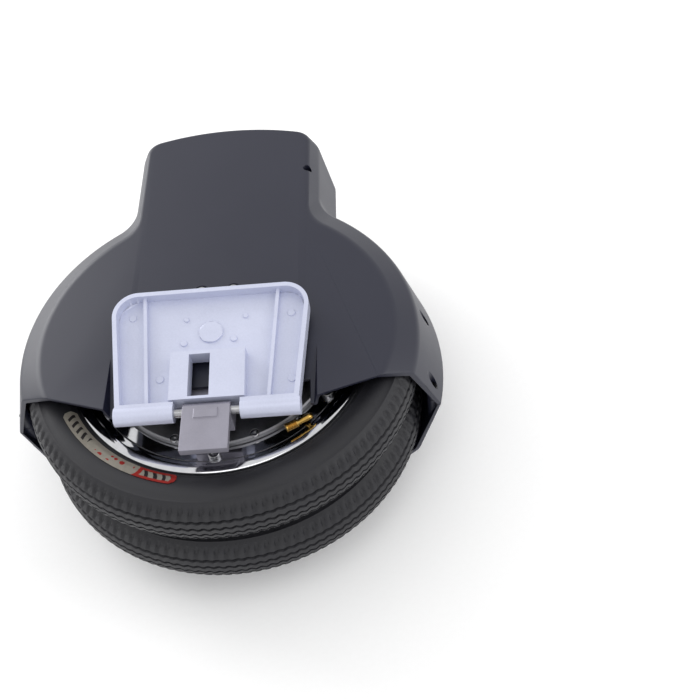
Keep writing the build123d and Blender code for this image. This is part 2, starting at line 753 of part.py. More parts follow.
def valve():
    """Bent brass stem: through the well, out past the web and round to the tip."""
    scale_in = 120.5 / hypot(*VALVE_FOOT)
    root = (VALVE_FOOT[0] * scale_in, VALVE_FOOT[1] * scale_in, TYRE_PLANE_Z)
    low = (VALVE_FOOT[0], VALVE_FOOT[1], TYRE_PLANE_Z)
    rise = (VALVE_FOOT[0], VALVE_FOOT[1], 47.0)
    bend = (VALVE_BEND[0], VALVE_BEND[1], VALVE_Z)
    tip = (VALVE_TIP[0], VALVE_TIP[1], VALVE_Z)
    path = FilletPolyline(root, low, rise, bend, tip, radius=[4.0, 4.5, 4.6])
    aim = (VALVE_FOOT[0] - root[0], VALVE_FOOT[1] - root[1], 0)
    stem = sweep(Plane(origin=root, z_dir=aim) * Circle(2.6), path=path)
    run = (VALVE_TIP[0] - VALVE_BEND[0], VALVE_TIP[1] - VALVE_BEND[1], 0)
    nozzle = Plane(origin=tip, z_dir=run)
    stem += nozzle * Pos(0, 0, -5.5) * Cylinder(3.85, 11.0)
    return stem


def valve_cap():
    run = Vector(VALVE_TIP[0] - VALVE_BEND[0], VALVE_TIP[1] - VALVE_BEND[1], 0).normalized()
    tip = Vector(VALVE_TIP[0], VALVE_TIP[1], VALVE_Z)
    nozzle = Plane(origin=tip, z_dir=run)
    cap = nozzle * Pos(0, 0, -3.5) * Cylinder(5.0, 11.0)
    return cap - nozzle * Pos(0, 0, -5.0) * Cylinder(3.9, 10.1)


# ---- build ----
save("upper_cover", upper_cover())
save("lower_cover", flipped(cover(False)))
save("cover_screws", cover_screws())
save("hub_screws", hub_screws())
save("handle_well", handle_well())
save("carry_handle", carry_handle())
save("power_button", power_button())
save("button_switch", button_switch())
save("charge_socket", charge_socket())
save("charge_cap", charge_cap())
save("level_lights", level_lights())
save("wheel_arch", wheel_arch())
save("battery_cells", battery_cells())
save("battery_holders", battery_holders())
save("heat_sink", heat_sink())
save("controller_board", controller_board())
save("motor_cable", motor_cable())
save("axle", axle())
save("axle_nuts", axle_nuts())
save("axle_washers", axle_washers())
save("upper_hanger", hanger())
save("lower_hanger", flipped(hanger()))
save("upper_hinge_pin", hinge_pin())
save("lower_hinge_pin", flipped(hinge_pin()))
save("upper_pedal", pedal())
save("lower_pedal", flipped(pedal()))
save("upper_pedal_pad", pedal_pad())
save("lower_pedal_pad", flipped(pedal_pad()))
save("motor_drum", motor_drum())
save("upper_motor_cover", motor_cover())
save("lower_motor_cover", flipped(motor_cover()))
save("motor_cover_screws", motor_cover_screws())
save("magnet_ring", magnet_ring())
save("stator_core", stator_core())
save("stator_spider", stator_spider())
save("stator_coils", stator_coils())
save("bearing_outer_rings", bearing_outer_rings())
save("bearing_inner_rings", bearing_inner_rings())
save("bearing_balls", bearing_balls())
save("upper_rim", rim())
save("lower_rim", half_turn(rim()))
save("rim_bolts", rim_bolts())
save("upper_tyre", tyre())
save("lower_tyre", flipped(tyre()))
save("upper_inner_tube", inner_tube())
save("lower_inner_tube", flipped(inner_tube()))
save("upper_valve", valve())
save("lower_valve", half_turn(valve()))
save("lower_valve_cap", half_turn(valve_cap()))
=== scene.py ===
# %% [markdown]
# # A twin-tyre electric unicycle, lying on its side
#
# The mechanical model is already packed as a fixed frame: every shaft, screw and cover has its true
# size and place there. This file gives that frame its looks. It starts with the camera, then builds
# the finishes one by one, and then the pieces whose shape needs more than the mechanical model has:
# the moulded covers, the tyres, the pedals and the printed label.

# %% Load the frame
import bmesh
import bpy
import json
import math
from mathutils import Matrix, Vector


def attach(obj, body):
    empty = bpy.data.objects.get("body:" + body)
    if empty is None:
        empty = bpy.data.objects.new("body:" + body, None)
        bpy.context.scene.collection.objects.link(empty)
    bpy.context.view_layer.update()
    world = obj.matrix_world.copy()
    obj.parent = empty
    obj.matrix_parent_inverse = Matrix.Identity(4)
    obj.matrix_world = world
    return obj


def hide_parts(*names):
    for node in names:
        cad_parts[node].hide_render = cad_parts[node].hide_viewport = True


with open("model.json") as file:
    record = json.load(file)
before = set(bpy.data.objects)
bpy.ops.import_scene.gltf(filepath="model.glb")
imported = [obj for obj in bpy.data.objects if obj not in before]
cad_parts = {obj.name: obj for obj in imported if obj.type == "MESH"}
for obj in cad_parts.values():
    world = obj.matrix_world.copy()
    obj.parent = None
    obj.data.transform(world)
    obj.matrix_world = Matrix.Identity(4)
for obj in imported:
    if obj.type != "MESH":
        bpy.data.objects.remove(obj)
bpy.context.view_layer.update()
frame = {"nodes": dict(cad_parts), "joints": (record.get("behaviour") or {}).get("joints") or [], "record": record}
nodes = frame["nodes"]
print(len(nodes), "nodes in the frame")

# %% [markdown]
# The wheel's centre is the natural place to measure from, because every round piece is centred on
# it. The frame knows it: the wheel turns about a joint, and the joint has a position.

# %% The wheel's centre and a ruler in millimetres
MM = 0.001
wheel_joint = next(j for j in frame["joints"] if j["name"] == "wheel_spin")
WHEEL = Vector(wheel_joint["pos_m"])


def place(x, y, z):
    """A point given in millimetres from the wheel's centre, in the frame's metres."""
    return WHEEL + Vector((x, y, z)) * MM


print("wheel centre", tuple(round(c, 4) for c in WHEEL))

# %% [markdown]
# ## The camera
#
# From a little under a metre away, looking down at about fifty degrees, both the flat face and the
# two tyres are in view, and a short telephoto lens keeps the wheel round. The camera is aimed with
# an azimuth, an elevation and a small roll, which are easier to judge than a rotation matrix.

# %% Camera
CAMERA_AZIMUTH = math.radians(5.75)
CAMERA_ELEVATION = math.radians(51.6)
CAMERA_ROLL = math.radians(-8.7)
CAMERA_DISTANCE = 0.8994
CAMERA_LENS = 56.7

aim = place(121.9, -61.6, 111.3)
back = Vector((
    math.sin(CAMERA_AZIMUTH) * math.cos(CAMERA_ELEVATION),
    -math.cos(CAMERA_AZIMUTH) * math.cos(CAMERA_ELEVATION),
    math.sin(CAMERA_ELEVATION),
))
level = Vector((0, 0, 1)).cross(back).normalized()
upright = back.cross(level)
right = level * math.cos(CAMERA_ROLL) + upright * math.sin(CAMERA_ROLL)
up = upright * math.cos(CAMERA_ROLL) - level * math.sin(CAMERA_ROLL)

camera_data = bpy.data.cameras.new("camera")
camera_data.lens = CAMERA_LENS
camera = bpy.data.objects.new("camera", camera_data)
turn = Matrix((right, up, back)).transposed()
camera.matrix_world = Matrix.Translation(aim + back * CAMERA_DISTANCE) @ turn.to_4x4()
bpy.context.collection.objects.link(camera)
bpy.context.scene.camera = camera
print("camera at", tuple(round(c, 3) for c in camera.matrix_world.translation))

# %% [markdown]
# ## Floor and light
#
# The object is black, so its shape is drawn by reflections and not by its own colour. A bright,
# even surround gives every edge a pale line, and three large lamps give the flat covers a soft
# gradient. The left lamp is the strongest, so the left bevels are the light ones. The standard view
# transform keeps the white floor white.

# %% Floor and world
FLOOR = 6.0


def link(obj):
    """Puts an object in the scene and hands it back."""
    bpy.context.collection.objects.link(obj)
    return obj


floor_mesh = bpy.data.meshes.new("floor")
floor_mesh.from_pydata(
    [(-FLOOR, -FLOOR, 0), (FLOOR, -FLOOR, 0), (FLOOR, FLOOR, 0), (-FLOOR, FLOOR, 0)],
    [], [(0, 1, 2, 3)])
floor = link(bpy.data.objects.new("floor", floor_mesh))

scene = bpy.context.scene
scene.view_settings.view_transform = "Standard"
world = bpy.data.worlds.new("studio")
scene.world = world
world.use_nodes = True
sky = world.node_tree.nodes["Background"]
sky.inputs["Color"].default_value = (1, 1, 1, 1)
sky.inputs["Strength"].default_value = 0.92
print("floor of", 2 * FLOOR, "m, sky strength", round(sky.inputs["Strength"].default_value, 2))

# %% [markdown]
# A softbox is a square of white cloth with a lamp behind it. An area lamp does the same:
# the wider it is, the softer the edge of its reflection on the covers.

# %% Soft lamps
def lamp(name, azimuth, elevation, distance, size, power):
    """A square soft lamp aimed at the wheel from a direction given in degrees."""
    data = bpy.data.lights.new(name, "AREA")
    data.shape = "SQUARE"
    data.size = size
    data.energy = power
    a = math.radians(azimuth)
    e = math.radians(elevation)
    away = Vector((math.sin(a) * math.cos(e), -math.cos(a) * math.cos(e), math.sin(e)))
    obj = link(bpy.data.objects.new(name, data))
    obj.location = WHEEL + away * distance
    obj.rotation_euler = away.to_track_quat("Z", "Y").to_euler()
    print(name, power, "W,", size, "m wide")


lamp("left_lamp", -130, 20, 2.2, 1.3, 26)
lamp("right_lamp", 85, 32, 2.4, 1.4, 12)
lamp("front_lamp", 0, 70, 2.4, 1.2, 5)

# %% [markdown]
# ## Making finishes
#
# Colours are picked as sRGB hex, as a paint card would give them, and one function turns them
# linear for the renderer. Pattern sizes are given in millimetres. One function adds a node with
# its settings and links, so that each material reads as a short list.

# %% Helpers for materials
def colour(code):
    """Linear colour from an sRGB hex code."""
    channels = []
    for i in (0, 2, 4):
        c = int(code[i:i + 2], 16) / 255
        channels.append(c / 12.92 if c <= 0.04045 else ((c + 0.055) / 1.055) ** 2.4)
    return (*channels, 1.0)


def per_mm(size):
    """Texture scale that repeats about once in so many millimetres."""
    return 1.0 / (size * MM)


def add(tree, kind, sockets=None, **settings):
    """Adds a node. A socket's value is a plain value, or (node, output) to link from."""
    new = tree.nodes.new(kind)
    for name, value in settings.items():
        setattr(new, name, value)
    for socket, value in (sockets or {}).items():
        if isinstance(value, tuple) and isinstance(value[0], bpy.types.Node):
            tree.links.new(value[0].outputs[value[1]], new.inputs[socket])
        else:
            new.inputs[socket].default_value = value
    return new


def blank(name):
    """A material with only its output left, its tree, and object coordinates in metres."""
    material = bpy.data.materials.new(name)
    material.use_nodes = True
    tree = material.node_tree
    tree.nodes.clear()
    where = add(tree, "ShaderNodeTexCoord")
    return material, tree, where


def close(tree, shader):
    """Joins the finished shader to the material's output."""
    add(tree, "ShaderNodeOutputMaterial", {"Surface": (shader, "BSDF")})


print("middle grey 808080 is", round(colour("808080")[0], 3), "in linear light")

# %% [markdown]
# Most of the machine is made of a few families: moulded plastic, rubber, cast or turned metal.
# They differ in base colour, metal or not, roughness, and in the size and depth of their grain.
# One recipe covers the plain ones: a slow tone drift, a fine grain in the bump, and roughness
# that follows the drift, as handling and mould release leave it.

# %% A recipe for plain finishes
def plain_finish(name, dark, light, metallic, rough, grain, depth, drift=45, stretch=(1, 1, 1),
                 **surface):
    """dark and light are hex colours, rough is (low, high), grain and drift are in mm."""
    material, tree, where = blank(name)
    scaled = add(tree, "ShaderNodeMapping", {"Vector": (where, "Object"), "Scale": stretch})
    slow = add(tree, "ShaderNodeTexNoise",
               {"Vector": (where, "Object"), "Scale": per_mm(drift), "Detail": 5.0,
                "Roughness": 0.6})
    fine = add(tree, "ShaderNodeTexNoise",
               {"Vector": (scaled, "Vector"), "Scale": per_mm(grain), "Detail": 3.0})
    both = add(tree, "ShaderNodeMix",
               {"Factor": 0.35, "A": (slow, "Fac"), "B": (fine, "Fac")}, data_type="FLOAT")
    tone = add(tree, "ShaderNodeValToRGB", {"Fac": (both, "Result")})
    tone.color_ramp.elements[0].position = 0.3
    tone.color_ramp.elements[1].position = 0.7
    tone.color_ramp.elements[0].color = colour(dark)
    tone.color_ramp.elements[1].color = colour(light)
    gloss = add(tree, "ShaderNodeMapRange",
                {"Value": (both, "Result"), "From Min": 0.3, "From Max": 0.7,
                 "To Min": rough[0], "To Max": rough[1]})
    bump = add(tree, "ShaderNodeBump",
               {"Height": (fine, "Fac"), "Strength": 0.6, "Distance": depth * MM})
    shader = add(tree, "ShaderNodeBsdfPrincipled",
                 {"Base Color": (tone, "Color"), "Roughness": (gloss, "Result"),
                  "Normal": (bump, "Normal"), "Metallic": metallic, **surface})
    close(tree, shader)
    print(name, dark, "to", light)
    return material


# %% [markdown]
# **Moulded ABS** for the covers: a black pigment with a little blue, and a spark-eroded texture
# that breaks the gloss. The real grain is about 0.3 mm; here it is 0.9 mm, because anything
# finer is lost at this distance. The other plastics differ from it mostly in gloss and colour.

# %% Moulded ABS and other plastics
# Satin blue black: broad, soft reflections that drift slowly over the covers.
housing_abs = plain_finish("moulded_abs", "16182a", "1c1e2f", 0.0, (0.4, 0.5), 0.9, 0.05,
                           drift=120, IOR=1.54)
# Duller and more neutral than the covers, so the inner parts fall back.
inner_plastic = plain_finish("moulded_nylon", "121214", "1a1a1d", 0.0, (0.45, 0.6), 1.2, 0.08,
                             IOR=1.53)
# A slightly shiny grey disc that the thumb finds at once.
satin_cap = plain_finish("satin_abs_cap", "2a2a2d", "363639", 0.0, (0.25, 0.35), 1.5, 0.02,
                         IOR=1.54)
# A smooth black skin with a long, soft highlight.
cable_jacket = plain_finish("pvc_cable_jacket", "0d0d0e", "161618", 0.0, (0.4, 0.55), 2.0, 0.05,
                            IOR=1.53)
# Strong green with a sharp highlight, like a small drop.
green_lens = plain_finish("tinted_acrylic_lens", "2f8f4a", "48b364", 0.0, (0.08, 0.15), 3.0, 0.01,
                          IOR=1.49)
# Dark green lacquer, glossier than plastic.
green_board = plain_finish("circuit_board_lacquer", "0b3d22", "14532f", 0.0, (0.25, 0.4), 2.0,
                           0.05, IOR=1.5)
# Blue film shrunk on the cells, with the faint waves of the shrinking.
cell_sleeve = plain_finish("battery_shrink_sleeve", "1f4f8c", "2a62a6", 0.0, (0.25, 0.35), 9.0,
                           0.05, IOR=1.5)

# %% [markdown]
# **Metals.** Painted die-cast aluminium has a fine leathery skin under the silver paint, zinc
# plating is a little cloudy, and chrome is a mirror with faint wiping marks. A metal keeps the
# default IOR, because its reflection comes from its colour.

# %% Metals
# Pale silver paint with a fine skin, the lightest thing on the machine.
cast_silver = plain_finish("silver_paint_on_die_casting", "bdc1d5", "cbcfe3", 0.25, (0.36, 0.46),
                           1.6, 0.06, drift=60)
# Bright but cloudy, with small patches.
zinc_plate = plain_finish("zinc_plated_steel", "9a9a9d", "b9b9bb", 1.0, (0.22, 0.38), 2.5, 0.03,
                          drift=12)
# Near black with a metal's soft glint.
black_screw = plain_finish("black_oxide_steel", "1a1a1c", "2a2a2c", 1.0, (0.35, 0.5), 1.5, 0.03,
                           drift=8)
# An even, silky grey without any sharp reflection.
grey_plate = plain_finish("bead_blasted_aluminium", "8c8a95", "9b99a5", 0.6, (0.36, 0.48), 0.8,
                          0.05, drift=30)
# A rougher and darker grey, as it comes from the mould.
cast_motor = plain_finish("cast_aluminium", "77777b", "929296", 1.0, (0.35, 0.5), 1.8, 0.1,
                          drift=25)
# A mirror that shows the sky as white bands and the covers as black ones.
chrome = plain_finish("chrome_plate", "c9cacd", "dcdcdf", 1.0, (0.06, 0.13), 5.0, 0.01, drift=40)
# Warm yellow with fine turning marks.
brass = plain_finish("turned_brass", "b8924a", "d2ac62", 1.0, (0.2, 0.32), 0.8, 0.04, drift=8)
# Light grey with long, faint lines, as a die draws them.
heat_sink_alloy = plain_finish("extruded_aluminium", "8e8e91", "a8a8ab", 1.0, (0.3, 0.45), 1.0,
                               0.05, stretch=(1, 1, 0.05))
# Warmer and glossier than steel.
nickel = plain_finish("nickel_plated_magnet", "8b8a86", "a3a29d", 1.0, (0.2, 0.35), 2.0, 0.03)
# Fine stripes across the axle, like the edges of stacked sheets.
laminations = plain_finish("stacked_lamination_steel", "3c3c40", "5a5a60", 1.0, (0.35, 0.5), 0.5,
                           0.15, stretch=(0.05, 0.05, 1))
# Red brown strands under a clear enamel.
copper_wire = plain_finish("enamelled_copper_wire", "8a4522", "b4683a", 1.0, (0.25, 0.4), 0.8,
                           0.25, stretch=(0.1, 0.1, 1))

# %% [markdown]
# **Rubbers and the floor.** Carbon black makes all rubber nearly the same colour, so the pieces are
# told apart by gloss: a tyre's moulded wall shines a little, a worn tread and a pad are dull. The
# floor is matt white paint.

# %% Rubbers and the floor
# Dull black of the small rubber parts, with almost no highlight.
soft_rubber = plain_finish("moulded_rubber", "0f0f10", "19191b", 0.0, (0.6, 0.8), 1.0, 0.12,
                           IOR=1.52)
# Slightly greyer, as a pad that feet have rubbed.
tread_rubber = plain_finish("tread_rubber", "17171a", "222226", 0.0, (0.55, 0.75), 1.2, 0.15,
                            IOR=1.52)
# The deepest black, with a soft sheen along the sidewall.
tyre_rubber = plain_finish("tyre_rubber", "0f0f15", "17171e", 0.0, (0.5, 0.66), 1.4, 0.1,
                           drift=30, IOR=1.52)
# Smoother than the tyre, as an inner tube is.
tube_rubber = plain_finish("butyl_tube_rubber", "131314", "1c1c1e", 0.0, (0.5, 0.7), 2.0, 0.1,
                           IOR=1.52)
# White without a reflection, so that only the soft shadow is seen.
floor_paint = plain_finish("matt_white_floor", "fbfbfb", "ffffff", 0.0, (0.8, 0.9), 5.0, 0.05,
                           drift=500)
floor.data.materials.append(floor_paint)

# %% [markdown]
# The frame's record names a material slot for every node. A table from slot to finish dresses
# the whole machine at once, inside and out.

# %% Dress the frame's nodes
FINISH = {
    "housing": housing_abs, "inner_plastic": inner_plastic, "black_rubber": soft_rubber,
    "button": satin_cap, "lights": green_lens, "screw_steel": black_screw,
    "bright_steel": zinc_plate, "forged": grey_plate, "cast_silver": cast_silver,
    "tread_rubber": tread_rubber, "motor_cast": cast_motor, "chrome_rim": chrome,
    "tyre": tyre_rubber, "tube_rubber": tube_rubber, "brass": brass, "cells": cell_sleeve,
    "circuit": green_board, "heat_sink": heat_sink_alloy, "cable": cable_jacket,
    "magnet": nickel, "laminations": laminations, "copper": copper_wire,
}
SLOT = {part["node"]: part["material_slot"] for part in frame["record"]["subparts"]}
for name, obj in nodes.items():
    obj.data.materials.clear()
    obj.data.materials.append(FINISH[SLOT[name]])
print("finishes used", len({SLOT[name] for name in nodes}))

# %% [markdown]
# ## Shaping tools
#
# The new pieces are drawn in millimetres from the wheel's centre, like a workshop drawing, and only
# moved into the frame's metres when they are done. Moulded and cast parts are made the way a
# pattern maker would: a solid body, then cuts and bosses by exact booleans. On the covers and the
# small parts every sharp edge is then broken with a small bevel, because no moulded edge is really
# sharp; the pedals, tyres and rims keep the edges they are built with.

# %% From a drawing to a riding piece
TO_FRAME = Matrix.Translation(WHEEL) @ Matrix.Scale(MM, 4)


def loose(bm):
    """A temporary object holding one bmesh, still in drawing millimetres."""
    bmesh.ops.recalc_face_normals(bm, faces=bm.faces)
    mesh = bpy.data.meshes.new("loose")
    bm.to_mesh(mesh)
    bm.free()
    return link(bpy.data.objects.new("loose", mesh))


def carve(target, cutter, operation="DIFFERENCE"):
    """One exact boolean, applied at once. The cutter is thrown away."""
    step = target.modifiers.new("carve", "BOOLEAN")
    step.operation = operation
    step.solver = "EXACT"
    step.object = cutter
    view = bpy.context.evaluated_depsgraph_get()
    done = bpy.data.meshes.new_from_object(target.evaluated_get(view))
    target.modifiers.clear()
    target.data = done
    bpy.data.objects.remove(cutter)


def taken_back(obj):
    """The bmesh of a temporary object, which is thrown away."""
    bm = bmesh.new()
    bm.from_mesh(obj.data)
    bpy.data.objects.remove(obj)
    return bm


def turn_over(bm, axis):
    """Half a turn about an axis through the wheel's centre, for the piece on the other side."""
    bmesh.ops.rotate(bm, verts=bm.verts, cent=(0, 0, 0), matrix=Matrix.Rotation(math.pi, 3, axis))


def break_edges(bm, width, sharper_than=35):
    """Bevels every edge sharper than an angle, after melting flat triangles together."""
    bmesh.ops.dissolve_limit(bm, angle_limit=math.radians(0.2), verts=bm.verts, edges=bm.edges)
    limit = math.radians(sharper_than)
    sharp = [e for e in bm.edges if e.is_manifold and e.calc_face_angle(0) > limit]
    bmesh.ops.bevel(bm, geom=sharp, offset=width, segments=2, profile=0.5, affect="EDGES",
                    clamp_overlap=False)


def finished(name, bm, finish, body, stands_for=None, sharp=50):
    """Turns a bmesh in frame metres into a piece that rides on a body."""
    bmesh.ops.recalc_face_normals(bm, faces=bm.faces)
    mesh = bpy.data.meshes.new(name)
    bm.to_mesh(mesh)
    bm.free()
    mesh.shade_smooth()
    mesh.set_sharp_from_angle(angle=math.radians(sharp))
    mesh.materials.clear()
    mesh.materials.append(finish)
    obj = link(bpy.data.objects.new(name, mesh))
    normals = obj.modifiers.new("flat faces lead", "WEIGHTED_NORMAL")
    normals.keep_sharp = True
    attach(obj, body)
    if stands_for:
        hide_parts(stands_for)
    return obj


def add_prism(bm, corners, low, high, axis="Z"):
    """Adds a straight prism along Z or Y. corners are pairs in the plane across the axis."""
    rows = [[bm.verts.new((a, c, b) if axis == "Y" else (a, b, c)) for a, b in corners]
            for c in (low, high)]
    bm.faces.new(rows[0])
    bm.faces.new(list(reversed(rows[1])))
    count = len(corners)
    for i in range(count):
        j = (i + 1) % count
        bm.faces.new((rows[0][i], rows[0][j], rows[1][j], rows[1][i]))


def circle(x, y, radius, steps=40):
    """Corners of a many-sided circle."""
    turn_by = 2 * math.pi / steps
    return [(x + radius * math.cos(i * turn_by), y + radius * math.sin(i * turn_by))
            for i in range(steps)]


def block_of(x0, x1, y0, y1, z0, z1):
    """A rectangular block as a bmesh."""
    bm = bmesh.new()
    add_prism(bm, [(x0, y0), (x1, y0), (x1, y1), (x0, y1)], z0, z1)
    return bm


print("1000 drawing millimetres are", round(TO_FRAME.to_scale()[0] * 1000, 3), "m in the frame")

# %% [markdown]
# ## The housing's shape
#
# Each cover is one moulding: a round part over the wheel runs through a small neck into the box
# above it. In plan that is four arcs and a line a side. The outline is stepped point by point, in
# the same number of steps at every height, so that the walls can be skinned between heights.

# %% One outline of the housing
NECK_R = 38.0
ARCH_R = 247.0
CORNER_R = 16.0
CHORD_Y = -100.0
# Half the box's width, the round part's radius and the top's height, at each level of the wall.
FOOT = (102, 199, 276)
SHOULDER = (91, 179, 270)
BROW = (82, 151, 264)
FACE = (74, 143, 256)


def arc(cx, cy, radius, start, end, steps):
    """Points along an arc, without its last one."""
    return [(cx + radius * math.cos(start + (end - start) * i / steps),
             cy + radius * math.sin(start + (end - start) * i / steps)) for i in range(steps)]


def outline(half_box, wheel_r, top_y, chord_y=CHORD_Y):
    """Closed outline, anticlockwise from the bottom of the round part's right side."""
    neck_y = math.sqrt((wheel_r + NECK_R) ** 2 - (half_box + NECK_R) ** 2)
    arch_y = top_y - ARCH_R
    corner_y = arch_y + math.sqrt((ARCH_R - CORNER_R) ** 2 - (half_box - CORNER_R) ** 2)
    join = math.atan2(neck_y, half_box + NECK_R)
    lean = math.atan2(corner_y - arch_y, half_box - CORNER_R)
    right = arc(0, 0, wheel_r, math.asin(chord_y / wheel_r), join, 48)
    right += arc(half_box + NECK_R, neck_y, NECK_R, join + math.pi, math.pi, 14)
    right += [(half_box, neck_y + (corner_y - neck_y) * i / 8) for i in range(8)]
    right += arc(half_box - CORNER_R, corner_y, CORNER_R, 0, lean, 8)
    right += arc(0, arch_y, ARCH_R, lean, math.pi / 2, 16)
    left = [(-x, y) for x, y in reversed(right)]
    return right + [(0.0, top_y)] + left


print("points round the housing", len(outline(*FOOT)))

# %% [markdown]
# From the joint line the wall leans in to a shoulder, a steeper bevel leads up to the face, and the
# face itself falls away slightly towards the wheel's rim on both sides. The moulder's soft creases
# are small curves in the wall's own path, so they are real shape and not shading.

# %% The housing as a solid
SHOULDER_Z = 60.0
FACE_Z = 78.0
PANEL_HALF = 77.0
FACE_FALL = 0.062
WALL = 3.0
SEAM_Z = 0.15


def face_height(x):
    """The face's height: flat in the middle, falling outside x = 77 with a soft crease."""
    soft = 4.0
    t = abs(x) - (PANEL_HALF - soft)
    if t <= 0:
        return FACE_Z
    if t < 2 * soft:
        return FACE_Z - FACE_FALL * t * t / (4 * soft)
    return FACE_Z - FACE_FALL * (t - soft)


def softened_corner(before, corner, after, reach):
    """Five points that round a corner of a path, starting reach before it."""
    a = corner + (before - corner).normalized() * reach
    b = corner + (after - corner).normalized() * reach
    return [a.lerp(corner, t).lerp(corner.lerp(b, t), t) for t in (0, 0.25, 0.5, 0.75, 1)]


def housing_solid(inset, low_z, soft):
    """Closed upper half of the housing, drawn in by inset on every side."""
    chord = CHORD_Y - inset / 2
    levels = [outline(*(size - inset for size in level), chord)
              for level in (FOOT, SHOULDER, BROW, FACE)]
    z1 = SHOULDER_Z - inset
    z2 = FACE_Z - inset
    bm = bmesh.new()
    paths = []
    for f, s, b, i in zip(*levels):
        start = Vector((*f, 0))
        mid = Vector((*s, z1))
        slope = (abs(b[0]) - abs(s[0])) / (z2 - z1)
        z = z2
        if abs(b[0]) > PANEL_HALF:
            z = (z2 - FACE_FALL * (abs(s[0]) - PANEL_HALF - slope * z1)) / (1 + FACE_FALL * slope)
        edge = mid.lerp(Vector((*b, z2)), (z - z1) / (z2 - z1))
        flat = Vector((*i, face_height(i[0]) - inset))
        rise = mid - start
        points = [start + rise * ((low_z + (z1 - low_z) * t) / z1) for t in (0, 0.3, 0.6)]
        points += softened_corner(start, mid, edge, soft)
        points += softened_corner(mid, edge, flat, soft) + [flat]
        paths.append([bm.verts.new(p) for p in points])
    count = len(paths)
    for k in range(count):
        here, there = paths[k], paths[(k + 1) % count]
        for j in range(len(here) - 1):
            bm.faces.new((here[j], there[j], there[j + 1], here[j + 1]))
    for row in (0, -1):
        rim = [bm.edges.get((paths[k][row], paths[(k + 1) % count][row])) for k in range(count)]
        filled = bmesh.ops.triangle_fill(bm, edges=rim, use_beauty=True)
        for face in filled["geom"]:
            if isinstance(face, bmesh.types.BMFace):
                face.material_index = 1 if row else 0
    for x in (73, 75, 77, 79, 81):
        for side in (1, -1):
            everything = bm.verts[:] + bm.edges[:] + bm.faces[:]
            bmesh.ops.bisect_plane(bm, geom=everything, dist=1e-4, plane_co=(side * x, 0, 0),
                                   plane_no=(1, 0, 0))
    for face in bm.faces:
        if face.material_index == 1:
            for v in face.verts:
                v.co.z = face_height(v.co.x) - inset
            face.material_index = 0
    return bm


print("the face falls", round(FACE_Z - face_height(FOOT[1]), 1), "mm towards the rim")

# %% [markdown]
# The pedal's hinge sits in a shallow pocket that deepens towards the lower edge. Its flat floor
# and leaning walls make a wedge, so a convex hull of eight corners is all it takes.

# %% Cutters for the covers
def pocket(grow):
    """Wedge round the pedal's hinge, grown by the wall when it cuts the inside."""
    above_face = 80.0
    bm = bmesh.new()
    for y, floor_z in ((-22.0, FACE_Z - grow), (-90.0, 64.5 - grow)):
        for z in (floor_z, above_face):
            wide = 85.0 + grow + 6.5 * (z - 58.0) / 22.0
            for side in (1, -1):
                bm.verts.new((side * wide, y, z))
    bmesh.ops.convex_hull(bm, input=bm.verts[:])
    return bm


def lower_edge():
    """Everything below the cover's lower edge, where the tyres stand out."""
    end_y = -80.0 + 0.35 * (215 - 88)
    right = [(84, -58), (84, -80), (88, -80), (215, end_y), (215, -140)]
    bm = bmesh.new()
    add_prism(bm, right + [(-x, y) for x, y in reversed(right)], -5, 120)
    return bm


SIDE_SCREWS = ((184.6, 29.5, 20.0), (188.3, -33.0, 12.0))
BOX_SCREW = (81.0, 198.0, 66.0)
HUB_SCREW = (14.6, 45)
BOSS_R = 6.2
HEAD_HOLE_R = 3.9
SHAFT_HOLE_R = 2.0


def screw_bosses():
    """Posts inside the covers, for the screws that hold the halves together."""
    bm = bmesh.new()
    for x, y, seat in SIDE_SCREWS:
        for side in (1, -1):
            add_prism(bm, circle(side * x, y, BOSS_R), SEAM_Z, 60)
    for side in (1, -1):
        add_prism(bm, circle(side * BOX_SCREW[0], BOX_SCREW[1], BOSS_R), SEAM_Z, 77)
    return bm


def screw_holes(heads_here):
    """Shaft holes, and the wide holes that sink the heads."""
    thin = bmesh.new()
    wide = bmesh.new()
    for x, y, seat in SIDE_SCREWS:
        for side in (1, -1):
            add_prism(thin, circle(side * x, y, SHAFT_HOLE_R, 24), -1, 22)
            if heads_here:
                add_prism(wide, circle(side * x, y, HEAD_HOLE_R, 32), seat, 80)
    x, y, seat = BOX_SCREW
    for side in (1, -1):
        add_prism(thin, circle(side * x, y, SHAFT_HOLE_R, 24), -1, seat + 1)
        add_prism(thin, circle(side * HUB_SCREW[0], HUB_SCREW[1], 2.6, 24), 60, 90)
        add_prism(wide, circle(side * HUB_SCREW[0], HUB_SCREW[1], 6.5, 40), FACE_Z - 1.6, 90)
    add_prism(wide, circle(x, y, HEAD_HOLE_R, 32), seat, 90)
    return thin, wide


print(2 * len(SIDE_SCREWS), "side screws, 2 box screws and 2 hub screws a cover")

# %% [markdown]
# The controls sit on the arched top. On the real moulding each has a hole with a little play, and
# the socket's rubber cap has a flat seat sunk in a thickened pad, so that it closes flush.

# %% Holes for the controls
CONTROLS_Z = 48.0
BUTTON_X = -45
SOCKET_X = 45
LIGHTS_X = (-15, -5, 5, 15)
HANDLE_OPENING = (-65, 65, 229, 300, -1, 30)


def top_height(x):
    """Height of the arched top above a place on it, at the controls."""
    crown = FOOT[2] - (FOOT[2] - SHOULDER[2]) * CONTROLS_Z / SHOULDER_Z
    return crown - ARCH_R + math.sqrt(ARCH_R ** 2 - x ** 2)


